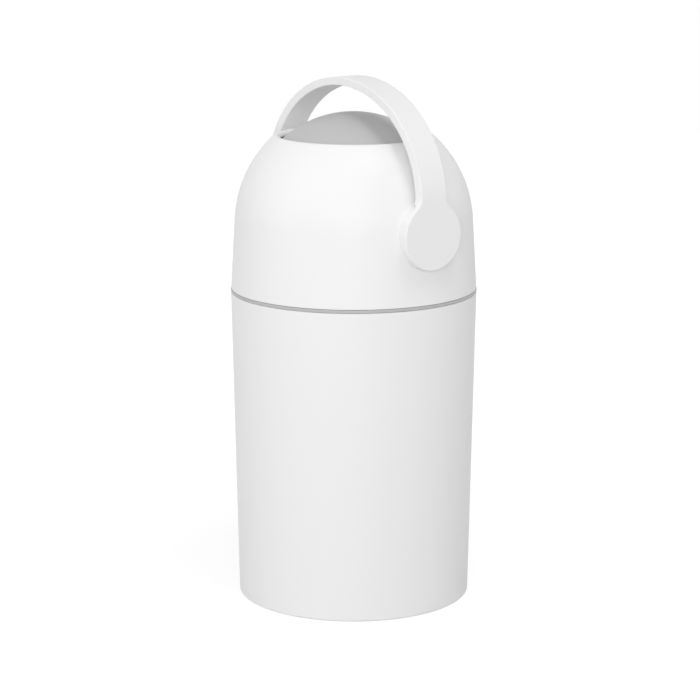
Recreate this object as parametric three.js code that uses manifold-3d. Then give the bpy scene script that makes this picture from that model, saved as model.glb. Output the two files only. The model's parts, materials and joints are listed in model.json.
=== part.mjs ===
// Flip-handle nappy bin: a tapered bucket, a hinged dome lid, and a ball in the lid that turns
// with the handle. The ball holds a barrel that is open at both ends, with a free weighted
// piston sliding in it.
// Millimetres, +Z up, origin at the middle of the bucket's flat standing face, front at -Y,
// handle axle along X. Hidden pieces follow the usual build of this kind of bin.

import * as THREE from "three";
import { mergeVertices } from "three/addons/utils/BufferGeometryUtils.js";
import Module from "manifold-3d";

const wasm = await Module();
wasm.setup();

// Driving dimensions of the outside. The dome's top is part of a ball centred on the bin's axis.
const seamRadius = 128;
const seamHeight = 325;
const bucketTaper = 6.4;
const bandHeight = 3;
const bandProud = 0.2;
const domeInset = 4.2;
const domeCentreAboveSeam = 68;
const mouthAboveCentre = 92.8;
const axleAboveCentre = 4.5;
const ballRoom = 9.4;
const hubProud = 5.2;
const mouthNose = 4;
const mouthLipDepth = 5;
const hubRadius = 35;
const hubFillet = 14;
const bossInset = 1.5;
const legClearance = 1.5;
const handleWidth = 31.7;
const handleThickness = 8.2;
const handleLegThickness = 10.5;
const handleLeg = 33.2;
const handleRise = 114.8;
const handleEdge = 2;

// Gaps between pieces.
const seatGap = 0.3;
const runGap = 0.5;
const curveGap = 1.2;
const overrun = 5;

// Bucket.
const bucketWall = 3;
const bucketFloor = 4;
const baseEdge = 1.8;
const rimEdge = 0.6;

// Bag ring, which folds the bag over the bucket's rim.
const sleeveWall = 2.5;
const sleeveDepth = 35;
const bagGap = 0.8;

// Hinge at the back.
const hingeSetback = 7.5;
const knuckleRadius = 5;
const pinRadius = 2;
const lidKnuckleLength = 36;
const bucketKnuckleLength = 12;
const hingeWebHeight = 24;

// Lid.
const lidWall = 2.8;
const lidEdgeInset = 0.2;
const bossWall = 3;
const hubPlate = 6.5;
const bushWall = 2.7;
const sleeveRingWall = 3.2;
const bossReach = 10.7;
const bushFlangeThickness = 2.6;
const postRadius = 4.2;
const postInset = 11.5;
const postHeight = 19;
const postWeb = 3;

// Collar that closes the lid round the ball, and the rubber rings of the lid.
const collarAboveSeam = 18;
const collarPlate = 3;
const collarWall = 2.5;
const collarNeckGap = 2.5;
const collarNeckDepth = 12;
const lidSealSize = 3;
const wiperHeight = 3;
const wiperSpread = 7;
const mouthSealDrop = 9;
const mouthSealHeight = 6;

// Ball and barrel.
const ballWall = 3;
const barrelInset = 52.1;
const barrelWall = 2.5;
const barrelLip = 3.5;
const ballRibSpacing = 90;
const ballRib = 3;
const ballPostRadius = 5.5;
const ballPostRoom = 3.5;
const ballPostInset = 2.2;
const ballPostDepth = 16;

// Trunnions, which carry the ball in the lid and take the handle's pegs.
const trunnionRadius = 13;
const trunnionFlange = 22;
const trunnionFlangeThickness = 3.5;
const trunnionNeck = 3.8;
const pegSide = 12;
const pegLength = 16.5;
const cradleWidth = 52;

// Piston.
const pistonThickness = 30;
const pistonWall = 3;
const pistonRunGap = 0.6;
const pistonSealWidth = 3.4;
const pistonSealDepth = 2.4;
const pistonSealInset = 4.5;
const weightInset = 14.9;
const weightThickness = 9;

// Screws.
const ballScrewRadius = 1.6;
const ballScrewLength = 26;
const handleScrewRadius = 2;
const handleScrewLength = 22;
const collarScrewRadius = 1.5;
const collarScrewLength = 17;
const screwHeadShare = 2.2;
const screwHeadHeightShare = 1.6;

// Counts of flat sides and steps.
const roundSides = 48;
const innerSides = 36;
const smallSides = 24;
const pinSides = 10;
const hexSides = 6;
const domeSteps = 8;
const ballSteps = 8;
const edgeSteps = 2;
const archSteps = 20;
const collarScrewCount = 4;

// Sizes that follow from these.
const baseRadius = seamRadius - bucketTaper;
const domeRadius = seamRadius - domeInset;
const mouthAboveSeam = domeCentreAboveSeam + mouthAboveCentre;
const axleAboveSeam = domeCentreAboveSeam + axleAboveCentre;
const ballRadius = domeRadius - lidWall - ballRoom;
const barrelBore = ballRadius - barrelInset;
const hubFace = seamRadius + hubProud;

// Finishes.
const finishes = {
  white: { color: 0xf3f3f2, roughness: 0.42, metalness: 0 },
  grey: { color: 0xc3c3c4, roughness: 0.45, metalness: 0 },
  rubber: { color: 0x4a4b4d, roughness: 0.8, metalness: 0 },
  inner: { color: 0xd9d9d8, roughness: 0.5, metalness: 0 },
  bearing: { color: 0xe9e4d6, roughness: 0.35, metalness: 0 },
  steel: { color: 0xb4b6b9, roughness: 0.3, metalness: 1 },
};

// A closed geometry as a solid that can be joined and cut.
function solidOf(geometry) {
  const bare = geometry.clone();
  bare.deleteAttribute("normal");
  bare.deleteAttribute("uv");
  const merged = mergeVertices(bare, 1e-4);
  return new wasm.Manifold(
    new wasm.Mesh({
      numProp: 3,
      vertProperties: merged.attributes.position.array,
      triVerts: new Uint32Array(merged.index.array),
    }),
  );
}

function geometryOf(solid) {
  const mesh = solid.getMesh();
  const geometry = new THREE.BufferGeometry();
  geometry.setAttribute("position", new THREE.BufferAttribute(mesh.vertProperties, 3));
  geometry.setIndex(new THREE.BufferAttribute(mesh.triVerts, 1));
  const flat = geometry.toNonIndexed();
  flat.computeVertexNormals();
  return flat;
}

function piece(name, solid, finish) {
  const mesh = new THREE.Mesh(geometryOf(solid), new THREE.MeshStandardMaterial(finishes[finish]));
  mesh.name = name;
  return mesh;
}

function group(pieces, place = [0, 0, 0]) {
  const made = new THREE.Group();
  made.position.set(...place);
  made.add(...pieces);
  return made;
}

// A turned solid about Z. The profile lists [radius, height] pairs, anticlockwise with height up.
function turned(profile, sides = roundSides) {
  const points = profile.map(([radius, height]) => new THREE.Vector2(radius, height));
  if (profile[0][0] !== 0) points.push(points[0].clone());
  return solidOf(new THREE.LatheGeometry(points, sides).rotateX(Math.PI / 2));
}

// A turned solid laid along X or Y, its profile's height running along that axis.
const turnedX = (profile, sides) => turned(profile, sides).rotate([0, 90, 0]);
const turnedY = (profile, sides = innerSides) => turned(profile, sides).rotate([-90, 0, 0]);

function rodProfile(radius, from, to) {
  return [
    [0, from],
    [radius, from],
    [radius, to],
    [0, to],
  ];
}

function tubeProfile(inner, outer, from, to) {
  return [
    [inner, from],
    [outer, from],
    [outer, to],
    [inner, to],
  ];
}

function block(sizeX, sizeY, sizeZ, x, y, z) {
  return solidOf(new THREE.BoxGeometry(sizeX, sizeY, sizeZ).translate(x, y, z));
}

// Points of a round stretch, angles in radians from the outward radius towards up.
function arc(centreRadius, centreHeight, radius, from, to, steps) {
  return Array.from({ length: steps + 1 }, (_, step) => {
    const angle = from + ((to - from) * step) / steps;
    return [centreRadius + radius * Math.cos(angle), centreHeight + radius * Math.sin(angle)];
  });
}

const joined = (solids) => solids.reduce((whole, next) => whole.add(next));
const cut = (solid, cutters) => cutters.reduce((whole, next) => whole.subtract(next), solid);
const heightOnBall = (radius, out) => Math.sqrt(radius ** 2 - out ** 2);

// Radius of a ball at a height above the seam, the ball centred at the given height.
function radiusAt(radius, centre, height) {
  return Math.sqrt(radius ** 2 - (height - centre) ** 2);
}

// A screw along Z, its head's flat at zero and its shank going up.
function screw(radius, length) {
  const head = radius * screwHeadShare;
  const headHeight = radius * screwHeadHeightShare;
  return turned(
    [
      [0, -headHeight],
      [head, -headHeight],
      [head, 0],
      [radius, 0],
      [radius, length - radius],
      [0, length],
    ],
    pinSides,
  );
}

// Hinge: an eye round the pin with a web to the wall that carries it, seen along X.
const hingeY = seamRadius + hingeSetback;

function hingeEye(length, middle, webTo) {
  const eye = turnedX(rodProfile(knuckleRadius, middle - length / 2, middle + length / 2), smallSides);
  const away = Math.sign(webTo);
  const web = new THREE.Shape();
  web.moveTo(-hingeSetback - overrun, away * (bandHeight / 2 + seatGap + rimEdge));
  web.lineTo(-hingeSetback, away * (bandHeight / 2 + seatGap + rimEdge));
  web.lineTo(0, 0);
  web.lineTo(knuckleRadius, 0);
  web.lineTo(-hingeSetback, webTo);
  web.lineTo(-hingeSetback - overrun, webTo);
  web.closePath();
  const plate = new THREE.ExtrudeGeometry(web, { depth: length, bevelEnabled: false, steps: 1 })
    .translate(0, 0, middle - length / 2)
    .applyMatrix4(new THREE.Matrix4().set(0, 0, 1, 0, 1, 0, 0, 0, 0, 1, 0, 0, 0, 0, 0, 1));
  return eye.add(solidOf(plate)).translate([0, hingeY, 0]);
}

const pinHole = turnedX(
  rodProfile(pinRadius + seatGap, -seamRadius, seamRadius),
  pinSides,
).translate([0, hingeY, 0]);

// Bucket, from the floor up.
const bandBottom = -bandHeight / 2;
const bandTop = bandHeight / 2;
const bucketTop = seamHeight + bandBottom - seatGap;

function bucketShell() {
  const outside = turned([
    [0, 0],
    ...arc(baseRadius - baseEdge, baseEdge, baseEdge, -Math.PI / 2, 0, edgeSteps),
    ...arc(seamRadius - rimEdge, bucketTop - rimEdge, rimEdge, 0, Math.PI / 2, edgeSteps),
    [0, bucketTop],
  ]);
  const inside = turned([
    [0, bucketFloor],
    [baseRadius - bucketWall, bucketFloor],
    [seamRadius - bucketWall, bucketTop],
    [seamRadius - bucketWall, bucketTop + overrun],
    [0, bucketTop + overrun],
  ]);
  const eyeMiddle = lidKnuckleLength / 2 + runGap + bucketKnuckleLength / 2;
  const eyes = [-eyeMiddle, eyeMiddle].map((middle) =>
    hingeEye(bucketKnuckleLength, middle, -hingeWebHeight),
  );
  const raised = joined(eyes).subtract(pinHole).translate([0, 0, seamHeight]);
  return outside.add(raised).subtract(inside);
}

// Pieces above the bucket are drawn from the seam's own height.
const sleeveTaper = (bucketTaper * sleeveDepth) / seamHeight;
const sleeveOuter = seamRadius - bucketWall - sleeveTaper - bagGap;
const sleeveInner = sleeveOuter - sleeveWall;

function bagRing() {
  return turned([
    [sleeveInner, -sleeveDepth],
    [sleeveOuter, -sleeveDepth],
    [sleeveOuter, bandBottom],
    [seamRadius + bandProud, bandBottom],
    [seamRadius + bandProud, bandTop],
    [sleeveInner, bandTop],
  ]);
}

function hingePin() {
  const half = lidKnuckleLength / 2 + runGap + bucketKnuckleLength;
  return turnedX(rodProfile(pinRadius, -half, half), pinSides).translate([0, hingeY, 0]);
}

// Dome: a straight skirt that runs tangent into a round top, which ends in a round nose at the
// mouth. Below the nose a short lip stands upright round the ball.
const lidBottom = bandTop + seatGap;
const lidEdgeRadius = seamRadius - lidEdgeInset;
const noseAngle = Math.asin((mouthAboveCentre - mouthNose) / (domeRadius - mouthNose));
const noseRadius = (domeRadius - mouthNose) * Math.cos(noseAngle);
const lipRadius = noseRadius - mouthNose;

function domeOutline(edgeRadius, radius, lastAngle) {
  const toCentre = Math.hypot(edgeRadius, domeCentreAboveSeam - lidBottom);
  const slope = Math.atan2(domeCentreAboveSeam - lidBottom, edgeRadius);
  const tangent = Math.acos(radius / toCentre) - slope;
  const top = arc(0, domeCentreAboveSeam, radius, tangent, lastAngle, domeSteps);
  return [[edgeRadius, lidBottom], ...top];
}

function skirtRadiusAt(height, inset) {
  const [foot, shoulder] = domeOutline(lidEdgeRadius, domeRadius, noseAngle);
  const share = (height - foot[1]) / (shoulder[1] - foot[1]);
  return foot[0] + (shoulder[0] - foot[0]) * share - inset;
}

// The hub boss and its bush on the +X side. The other side is its mirror image.
const bossFace = hubFace - hubPlate - runGap;
const bossRadius = hubRadius - bossInset;
const bushBore = trunnionRadius + seatGap;
const bushOuter = bushBore + bushWall;
const bossBore = bushOuter + seatGap;
const bossInner = bossFace - bossReach;

const bothSides = (solid) => solid.add(solid.mirror([1, 0, 0]));
const atAxle = (solid) => solid.translate([0, 0, axleAboveSeam]);
const postAngles = Array.from(
  { length: collarScrewCount },
  (_, index) => (360 / collarScrewCount) * (index + 1 / 2),
);
const postOut = skirtRadiusAt(collarAboveSeam + collarPlate, lidWall) - postInset + lidWall;
const postFoot = collarAboveSeam + collarPlate + seatGap;

function lidDome() {
  const noseHeight = mouthAboveSeam - mouthNose;
  const lipBottom = mouthAboveSeam - mouthLipDepth;
  const innerRadius = domeRadius - lidWall;
  const lipAngle = Math.asin((lipBottom - domeCentreAboveSeam) / innerRadius);
  const outer = domeOutline(lidEdgeRadius, domeRadius, noseAngle);
  const inner = domeOutline(lidEdgeRadius - lidWall, innerRadius, lipAngle);
  const nose = arc(noseRadius, noseHeight, mouthNose, noseAngle, Math.PI, 2 * edgeSteps);
  const outside = turned([[0, lidBottom], ...outer, ...nose.slice(1), [0, noseHeight]]);
  const inside = turned([
    [0, lidBottom - overrun],
    [inner[0][0], lidBottom - overrun],
    ...inner,
    [lipRadius, lipBottom],
    [lipRadius, mouthAboveSeam + overrun],
    [0, mouthAboveSeam + overrun],
  ]);
  const boss = atAxle(
    bothSides(turnedX(rodProfile(bossRadius, seamRadius / 2, bossFace), roundSides)),
  );
  const sleeve = atAxle(
    bothSides(turnedX(rodProfile(bossBore + sleeveRingWall, bossInner, bossFace), smallSides)),
  );
  const pocket = atAxle(
    bothSides(
      turnedX(
        tubeProfile(
          bossBore + sleeveRingWall,
          bossRadius - bossWall,
          seamRadius / 2,
          bossFace - bossWall,
        ),
        smallSides,
      ),
    ),
  );
  const bore = atAxle(bothSides(turnedX(rodProfile(bossBore, seamRadius / 2, seamRadius), smallSides)));
  const eye = hingeEye(lidKnuckleLength, 0, hingeWebHeight).subtract(pinHole);
  const shell = cut(joined([outside, boss, eye]), [inside, pocket]);
  const posts = postAngles.map((angle) => {
    const post = turned(rodProfile(postRadius, postFoot, postFoot + postHeight), pinSides);
    const web = block(postInset, postWeb, postHeight, postInset / 2, 0, postFoot + postHeight / 2);
    const hole = turned(
      rodProfile(collarScrewRadius + seatGap, postFoot - overrun, postFoot + postHeight - postWeb),
      pinSides,
    );
    return post.add(web).subtract(hole).translate([postOut, 0, 0]).rotate([0, 0, angle]);
  });
  const trimmed = joined(posts).intersect(outside);
  return joined([shell, sleeve, trimmed]).subtract(bore);
}

function hubBush() {
  return turnedX(
    [
      [bushBore, bossInner - seatGap - bushFlangeThickness],
      [bossBore + sleeveRingWall, bossInner - seatGap - bushFlangeThickness],
      [bossBore + sleeveRingWall, bossInner - seatGap],
      [bushOuter, bossInner - seatGap],
      [bushOuter, bossFace - seatGap],
      [bushBore, bossFace - seatGap],
    ],
    smallSides,
  );
}

// Rubber ring inside the mouth, between the dome and the ball.
function mouthSeal() {
  const top = mouthAboveSeam - mouthSealDrop;
  const bottom = top - mouthSealHeight;
  const middle = (top + bottom) / 2;
  const outerAt = (height) => radiusAt(domeRadius - lidWall - seatGap, domeCentreAboveSeam, height);
  const lip = radiusAt(ballRadius + runGap, axleAboveSeam, middle);
  return turned([
    [outerAt(bottom) - seatGap, bottom],
    [outerAt(bottom), bottom],
    [outerAt(top), top],
    [outerAt(top) - seatGap, top],
    [lip, middle],
  ]);
}

// Collar: a flat ring with a neck round the ball and a rim over the bag ring.
const collarTop = collarAboveSeam + collarPlate;
const collarNeck = radiusAt(ballRadius, axleAboveSeam, collarTop) + collarNeckGap;
const sealOuter = sleeveInner + lidSealSize;
const sealTop = bandTop + seatGap + lidSealSize;

function lidCollar() {
  const rimFoot = sealTop + seatGap;
  const neckFoot = collarAboveSeam - collarNeckDepth;
  const edge = skirtRadiusAt(collarTop, lidWall + seatGap);
  const plate = turned([
    [collarNeck, neckFoot],
    [collarNeck + collarWall, neckFoot],
    [collarNeck + collarWall, collarAboveSeam],
    [sleeveInner, collarAboveSeam],
    [sleeveInner, rimFoot],
    [sealOuter, rimFoot],
    [sealOuter, collarAboveSeam],
    [edge, collarAboveSeam],
    [edge, collarTop],
    [collarNeck, collarTop],
  ]);
  const holes = postAngles.map((angle) =>
    turned(
      rodProfile(collarScrewRadius + seatGap, collarAboveSeam - overrun, collarTop + overrun),
      pinSides,
    )
      .translate([postOut, 0, 0])
      .rotate([0, 0, angle]),
  );
  return cut(plate, holes);
}

function lidSeal() {
  return turned(tubeProfile(sleeveInner, sealOuter, bandTop + seatGap, sealTop));
}

// Rubber wiper on top of the collar, its lip against the ball.
function ballWiper() {
  const bottom = collarTop + seatGap;
  const top = bottom + wiperHeight;
  const lipAt = (height) => radiusAt(ballRadius + runGap, axleAboveSeam, height);
  return turned([
    [lipAt(bottom), bottom],
    [collarNeck + wiperSpread, bottom],
    [collarNeck + wiperSpread, top],
    [lipAt(top), top],
  ]);
}

function collarScrew(angle) {
  return screw(collarScrewRadius, collarScrewLength)
    .translate([postOut, 0, collarAboveSeam - seatGap])
    .rotate([0, 0, angle]);
}

// Ball, drawn about its own centre: two half shells split level with the axle.
const ballInner = ballRadius - ballWall;
const barrelOuter = barrelBore + barrelWall;
const barrelHalf = heightOnBall(ballInner, barrelOuter) - curveGap;
const flangeOut = heightOnBall(ballInner, trunnionFlange) - curveGap;
const flangeIn = flangeOut - trunnionFlangeThickness;
const neckEnd = flangeIn - trunnionNeck;
const ballPostX = barrelOuter + ballPostRadius + ballPostRoom;
const ballPostY = heightOnBall(ballInner - ballPostRadius - ballPostInset, ballPostX);
const ballPosts = [-1, 1].flatMap((x) => [-1, 1].map((y) => [x * ballPostX, y * ballPostY]));

function quarterRound(radius) {
  const points = arc(0, 0, radius, 0, Math.PI / 2, ballSteps);
  points[ballSteps] = [0, radius];
  return points;
}

function ballHalf(side) {
  const up = side > 0;
  const shell = turned([...quarterRound(ballRadius), ...quarterRound(ballInner).reverse()]);
  const inner = turned([[0, 0], ...quarterRound((ballRadius + ballInner) / 2)]);
  const ribs = [-1, 1].map((end) =>
    turnedY(
      tubeProfile(
        barrelOuter + seatGap,
        ballRadius,
        (end * ballRibSpacing - ballRib) / 2,
        (end * ballRibSpacing + ballRib) / 2,
      ),
    ),
  );
  const cradlePlate = trunnionNeck - 2 * seatGap;
  const cradle = block(
    cradlePlate,
    cradleWidth,
    2 * cradleWidth,
    flangeIn - seatGap - cradlePlate / 2,
    0,
    0,
  ).subtract(turnedX(rodProfile(trunnionRadius + seatGap, 0, ballRadius), hexSides));
  const post = turned(rodProfile(ballPostRadius, -overrun, ballRadius), pinSides);
  const posts = ballPosts.map(([x, y]) => post.translate([x, y, 0]));
  const inward = joined([...ribs, bothSides(cradle), ...posts]).intersect(inner);
  const shank = turned(
    rodProfile(ballScrewRadius + seatGap, -overrun, ballPostDepth),
    pinSides,
  );
  const counterbore = turned(
    rodProfile(
      ballScrewRadius * screwHeadShare + runGap,
      ballPostDepth - overrun,
      ballRadius,
    ),
    pinSides,
  );
  const screwHole = up ? shank : shank.add(counterbore);
  const screwHoles = ballPosts.map(([x, y]) => screwHole.translate([x, y, 0]));
  const split = block(2 * seamRadius, 2 * seamRadius, seatGap, 0, 0, 0);
  const half = cut(shell.add(inward), [
    turnedY(rodProfile(barrelBore - barrelLip, -ballRadius, ballRadius)),
    turnedX(rodProfile(trunnionRadius + seatGap, -ballRadius, ballRadius), smallSides),
    split,
    ...screwHoles,
  ]);
  return up ? half : half.mirror([0, 0, 1]);
}

function barrelTube() {
  return turnedY(tubeProfile(barrelBore, barrelOuter, -barrelHalf, barrelHalf));
}

const trunnionEnd = bossFace - seatGap;

function trunnion() {
  const neck = turnedX(rodProfile(trunnionRadius, neckEnd, flangeIn), hexSides);
  const flange = turnedX(rodProfile(trunnionFlange, flangeIn, flangeOut), smallSides);
  const shaft = turnedX(rodProfile(trunnionRadius, flangeIn, trunnionEnd), smallSides);
  const socketSide = pegSide + 2 * seatGap;
  const socketFloor = bossFace + runGap - pegLength - seatGap;
  const socketLength = seamRadius - socketFloor;
  const socket = block(socketLength, socketSide, socketSide, socketFloor + socketLength / 2, 0, 0);
  const hole = turnedX(rodProfile(handleScrewRadius + seatGap, 0, seamRadius), pinSides);
  return cut(joined([neck, flange, shaft]), [socket, hole]);
}

// Handle: a flat band from hub to hub, drawn about the axle. Its arch is thinnest at the top. Round
// each boss the band is cut back to the hub's plate.
const legRoom = hubFace - hubPlate;

function archOver(shape, half, rise, foot) {
  shape.lineTo(half, handleLeg);
  shape.absellipse(0, handleLeg, half, rise, 0, Math.PI, false);
  shape.lineTo(-half, foot);
}

function bevelled(shape, depth, segments) {
  return new THREE.ExtrudeGeometry(shape, {
    depth: depth - 2 * handleEdge,
    steps: 1,
    curveSegments: segments,
    bevelEnabled: true,
    bevelThickness: handleEdge,
    bevelSize: handleEdge,
    bevelOffset: -handleEdge,
    bevelSegments: edgeSteps - 1,
  }).translate(0, 0, handleEdge);
}

function handleBand() {
  const innerHalf = hubFace - handleLegThickness;
  const band = new THREE.Shape();
  band.moveTo(hubFace, 0);
  archOver(band, hubFace, handleRise, 0);
  band.lineTo(-innerHalf, 0);
  band.lineTo(-innerHalf, handleLeg);
  band.absellipse(0, handleLeg, innerHalf, handleRise - handleThickness, Math.PI, 0, true);
  band.lineTo(innerHalf, 0);
  band.closePath();
  return solidOf(
    bevelled(band, handleWidth, archSteps)
      .translate(0, 0, -handleWidth / 2)
      .rotateX(Math.PI / 2),
  );
}

// The hub's disc with the fillets that run up into the leg, seen along X, as thick as the leg.
function hubDisc() {
  const side = handleWidth / 2 + hubFillet;
  const height = heightOnBall(hubRadius + hubFillet, side);
  const lean = Math.atan2(height, side);
  const outline = new THREE.Shape();
  outline.moveTo(handleWidth / 2, height);
  outline.absarc(side, height, hubFillet, Math.PI, Math.PI + lean, false);
  outline.absarc(0, 0, hubRadius, lean, Math.PI - lean, true);
  outline.absarc(-side, height, hubFillet, -lean, 0, false);
  outline.closePath();
  const disc = bevelled(outline, handleLegThickness, archSteps)
    .translate(0, 0, hubFace - handleLegThickness)
    .rotateX(Math.PI / 2)
    .rotateZ(Math.PI / 2);
  return solidOf(disc);
}

function handleBow() {
  const envelope = new THREE.Shape();
  envelope.moveTo(hubFace, -hubRadius);
  archOver(envelope, hubFace, handleRise, -hubRadius);
  envelope.closePath();
  const bounds = solidOf(
    new THREE.ExtrudeGeometry(envelope, {
      depth: 2 * hubRadius,
      steps: 1,
      curveSegments: archSteps,
      bevelEnabled: false,
    })
      .translate(0, 0, -hubRadius)
      .rotateX(Math.PI / 2),
  );
  const discs = bothSides(hubDisc()).intersect(bounds);
  const room = bothSides(
    turnedX(rodProfile(hubRadius + legClearance, seamRadius / 2, legRoom), roundSides),
  );
  const pegFrom = legRoom - pegLength;
  const peg = block(
    pegLength + hubPlate / 2,
    pegSide,
    pegSide,
    pegFrom + (pegLength + hubPlate / 2) / 2,
    0,
    0,
  );
  const screwHole = turnedX(
    rodProfile(handleScrewRadius + seatGap, pegFrom - overrun, legRoom - runGap),
    pinSides,
  );
  const pegs = bothSides(peg.subtract(screwHole));
  return joined([handleBand().add(discs).subtract(room), pegs]);
}

function handleScrew() {
  return screw(handleScrewRadius, handleScrewLength)
    .rotate([0, 90, 0])
    .translate([neckEnd - seatGap, 0, 0]);
}

function ballScrew([x, y]) {
  return screw(ballScrewRadius, ballScrewLength).translate([x, y, overrun - ballPostDepth - seatGap]);
}

// Piston, drawn about its own middle with its axis along Y.
const pistonRadius = barrelBore - pistonRunGap;
const weightRadius = pistonRadius - weightInset;
const pistonHalf = pistonThickness / 2;
const coverIn = pistonHalf - pistonWall;
const grooveFloor = pistonRadius - pistonSealDepth;
const sealPlaces = [-1, 1].map((end) => end * (pistonHalf - pistonWall - pistonSealInset));

function pistonCup() {
  const grooves = sealPlaces.flatMap((place) => [
    [pistonRadius, place - pistonSealWidth / 2],
    [grooveFloor, place - pistonSealWidth / 2],
    [grooveFloor, place + pistonSealWidth / 2],
    [pistonRadius, place + pistonSealWidth / 2],
  ]);
  const bore = grooveFloor - pistonWall;
  return turnedY([
    [0, -pistonHalf],
    [pistonRadius, -pistonHalf],
    ...grooves,
    [pistonRadius, coverIn - seatGap],
    [bore, coverIn - seatGap],
    [bore, pistonWall - pistonHalf],
    [0, pistonWall - pistonHalf],
  ]);
}

function pistonCover() {
  const bore = grooveFloor - pistonWall - seatGap;
  const weightTop = pistonWall - pistonHalf + weightThickness + 2 * seatGap;
  return turnedY([
    [0, coverIn],
    [weightRadius - pistonWall, coverIn],
    [weightRadius - pistonWall, weightTop],
    [weightRadius, weightTop],
    [weightRadius, coverIn],
    [bore - pistonWall, coverIn],
    [bore - pistonWall, coverIn - pistonWall],
    [bore, coverIn - pistonWall],
    [bore, coverIn],
    [pistonRadius, coverIn],
    [pistonRadius, pistonHalf],
    [0, pistonHalf],
  ]);
}

function pistonWeight() {
  const from = pistonWall - pistonHalf + seatGap;
  return turnedY(rodProfile(weightRadius, from, from + weightThickness));
}

function pistonSeal(place) {
  const half = pistonSealWidth / 2 - seatGap;
  return turnedY(
    tubeProfile(grooveFloor + seatGap, barrelBore - seatGap, place - half, place + half),
  );
}

const bucket = group([piece("bucket_shell", bucketShell(), "white")]);
const atSeam = group(
  [
    piece("bag_ring", bagRing(), "grey"),
    piece("hinge_pin", hingePin(), "steel"),
    piece("lid_dome", lidDome(), "white"),
    piece("mouth_seal", mouthSeal(), "rubber"),
    piece("lid_collar", lidCollar(), "inner"),
    piece("lid_seal", lidSeal(), "rubber"),
    piece("ball_wiper", ballWiper(), "rubber"),
    ...postAngles.map((angle, index) =>
      piece(`collar_screw_${index + 1}`, collarScrew(angle), "steel"),
    ),
  ],
  [0, 0, seamHeight],
);

const ballGroup = group(
  [
    piece("hub_bush_right", hubBush(), "bearing"),
    piece("hub_bush_left", hubBush().mirror([1, 0, 0]), "bearing"),
    piece("ball_upper_shell", ballHalf(1), "grey"),
    piece("ball_lower_shell", ballHalf(-1), "grey"),
    piece("barrel_tube", barrelTube(), "inner"),
    piece("trunnion_right", trunnion(), "bearing"),
    piece("trunnion_left", trunnion().mirror([1, 0, 0]), "bearing"),
    piece("handle", handleBow(), "white"),
    piece("handle_screw_right", handleScrew(), "steel"),
    piece("handle_screw_left", handleScrew().mirror([1, 0, 0]), "steel"),
    ...ballPosts.map((place, index) =>
      piece(`ball_screw_${index + 1}`, ballScrew(place), "steel"),
    ),
    piece("piston_cup", pistonCup(), "inner"),
    piece("piston_cover", pistonCover(), "inner"),
    piece("piston_weight", pistonWeight(), "steel"),
    piece("piston_seal_front", pistonSeal(sealPlaces[0]), "rubber"),
    piece("piston_seal_back", pistonSeal(sealPlaces[1]), "rubber"),
  ],
  [0, 0, axleAboveSeam],
);
atSeam.add(ballGroup);

const bin = new THREE.Group();
bin.add(bucket, atSeam);

export default bin;
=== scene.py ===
# %% Load the frame
import json
from math import acos, asin, atan2, cos, hypot, pi, radians, sin, sqrt

import bmesh
import bpy
from mathutils import Matrix, Vector


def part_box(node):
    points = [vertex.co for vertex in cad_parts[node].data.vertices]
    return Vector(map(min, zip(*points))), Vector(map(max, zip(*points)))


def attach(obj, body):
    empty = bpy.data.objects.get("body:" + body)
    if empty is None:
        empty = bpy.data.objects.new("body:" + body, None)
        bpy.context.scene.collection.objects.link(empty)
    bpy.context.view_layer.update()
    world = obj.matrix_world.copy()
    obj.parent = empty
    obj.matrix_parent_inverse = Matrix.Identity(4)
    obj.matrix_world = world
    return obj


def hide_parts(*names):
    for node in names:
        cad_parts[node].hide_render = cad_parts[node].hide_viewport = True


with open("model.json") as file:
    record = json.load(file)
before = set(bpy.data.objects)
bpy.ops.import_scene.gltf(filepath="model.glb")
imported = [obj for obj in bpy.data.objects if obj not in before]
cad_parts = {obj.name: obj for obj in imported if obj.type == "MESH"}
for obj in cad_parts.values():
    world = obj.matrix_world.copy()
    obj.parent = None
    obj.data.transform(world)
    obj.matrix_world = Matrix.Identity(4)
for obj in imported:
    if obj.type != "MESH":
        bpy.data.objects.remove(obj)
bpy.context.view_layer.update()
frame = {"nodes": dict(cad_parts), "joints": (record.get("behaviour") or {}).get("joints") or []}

# %% [markdown]
# # A flip-handle nappy bin
# The bin is a tapered bucket with a dome lid. A grey ball sits in the lid's mouth and turns with the
# arched handle. The frame above holds every piece at its real size, so this script only dresses it:
# the smooth shells that show are modelled again, finely, on the same sizes, and the pieces that
# nobody sees keep their plain solids and get a finish.

# %% Sizes, in metres
MM = 0.001
CM = 0.01


def joint(name):
    return next(one for one in frame["joints"] if one["name"] == name)


SEAM_HEIGHT = joint("lid_hinge")["pos_m"][2]
HINGE_Y = joint("lid_hinge")["pos_m"][1]
AXLE_HEIGHT = joint("handle_turn")["pos_m"][2]
SEAM_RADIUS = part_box("bucket_shell")[1].x
BALL_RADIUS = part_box("ball_upper_shell")[1].z - AXLE_HEIGHT
HUB_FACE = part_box("handle")[1].x
HANDLE_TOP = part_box("handle")[1].z
MOUTH_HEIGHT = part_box("lid_dome")[1].z
SEAT_GAP = 0.3 * MM
RUN_GAP = 0.5 * MM
FULL_TURN = 2 * pi
WELD = 0.001 * MM
print(f"seam {SEAM_RADIUS:.4f} at {SEAM_HEIGHT:.4f}, ball {BALL_RADIUS:.4f}, top {HANDLE_TOP:.4f}")

# %% [markdown]
# ## The camera
# The photograph was matched by fitting a camera to the outline, the seam and the handle. It is a long
# lens two and a half metres away, a little above the lid. The numbers are the camera's real place.

# %% Camera
CAMERA_PLACE = (2.0032, -1.4996, 0.8047)
CAMERA_TURN = radians(53.271)
CAMERA_DIP = radians(12.313)
CAMERA_LENS = 125.42

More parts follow.
